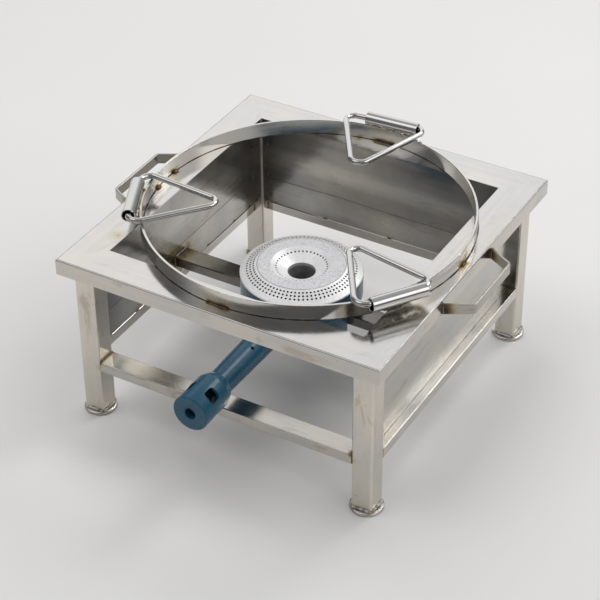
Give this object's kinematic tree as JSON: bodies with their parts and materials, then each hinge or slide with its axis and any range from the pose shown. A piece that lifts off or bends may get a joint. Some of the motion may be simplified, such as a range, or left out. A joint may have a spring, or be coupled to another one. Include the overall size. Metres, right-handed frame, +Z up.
{
  "type": "stock pot range",
  "caption": "Low square gas stock pot range: open steel frame with a ring of flip-over pot supports above a cast jumbo burner.",
  "frame": {"origin": "on the floor, under the middle of the object's overall box; the middle of the deck lies 24.25 mm behind it", "axes": "+X to the right seen from the front, +Y to the back, +Z up; the burner tube comes out towards -Y"},
  "size_m": [0.4612, 0.4584, 0.2415],
  "materials": {
    "deck_sheet": "brushed, bright",
    "frame_tube": "satin tube",
    "foot_disc": "ground disc with weld tint",
    "panel_sheet": "polished outside, satin inside",
    "flat_bar": "brushed flat bar with weld tint",
    "hinge_steel": "drawn tube",
    "support_rod": "polished round rod",
    "burner_paint": "blue enamel paint, semi-gloss",
    "burner_cap_metal": "bare sand casting, matt",
    "jet_brass": "machined",
    "fastener_steel": "zinc plated"
  },
  "bodies": {
    "frame": {"deck_front": "deck_sheet", "deck_back": "deck_sheet", "deck_left": "deck_sheet", "deck_right": "deck_sheet", "leg_front_left": "frame_tube", "leg_front_right": "frame_tube", "leg_back_left": "frame_tube", "leg_back_right": "frame_tube", "foot_front_left": "foot_disc", "foot_front_right": "foot_disc", "foot_back_left": "foot_disc", "foot_back_right": "foot_disc", "rail_front": "frame_tube", "rail_back": "frame_tube", "rail_left": "frame_tube", "rail_right": "frame_tube", "panel_left": "panel_sheet", "panel_right": "panel_sheet", "panel_back": "panel_sheet", "handle_left": "flat_bar", "handle_right": "flat_bar", "pot_ring": "flat_bar", "hinge_sleeve_left": "hinge_steel", "hinge_sleeve_back": "hinge_steel", "hinge_sleeve_right": "hinge_steel", "burner_crossbar": "frame_tube", "burner_bowl": "burner_paint", "venturi_tube": "burner_paint", "mixer_bell": "burner_paint", "gas_jet": "jet_brass", "burner_bolts": "fastener_steel", "burner_washers": "fastener_steel"},
    "support_left": {"pot_support_left": "support_rod"},
    "support_back": {"pot_support_back": "support_rod"},
    "support_right": {"pot_support_right": "support_rod"},
    "cap": {"burner_cap": "burner_cap_metal"}
  },
  "joints": [
    {"name": "support_left_flip", "type": "hinge", "parent": "frame", "child": "support_left", "pos_m": [-0.17402, -0.06275, 0.23395], "axis": [0.3843, -0.9232, 0], "range_deg": [0, 198]},
    {"name": "support_back_flip", "type": "hinge", "parent": "frame", "child": "support_back", "pos_m": [-0.00438, 0.21832, 0.23496], "axis": [-0.9935, -0.1132, -0.0122], "range_deg": [0, 226]},
    {"name": "support_right_flip", "type": "hinge", "parent": "frame", "child": "support_right", "pos_m": [0.16822, -0.08469, 0.234], "axis": [0.5642, 0.8256, 0], "range_deg": [0, 198]},
    {"name": "cap_lift", "type": "slide", "parent": "frame", "child": "cap", "axis": [0, 0, 1], "range_m": [0, 0.08]}
  ]
}
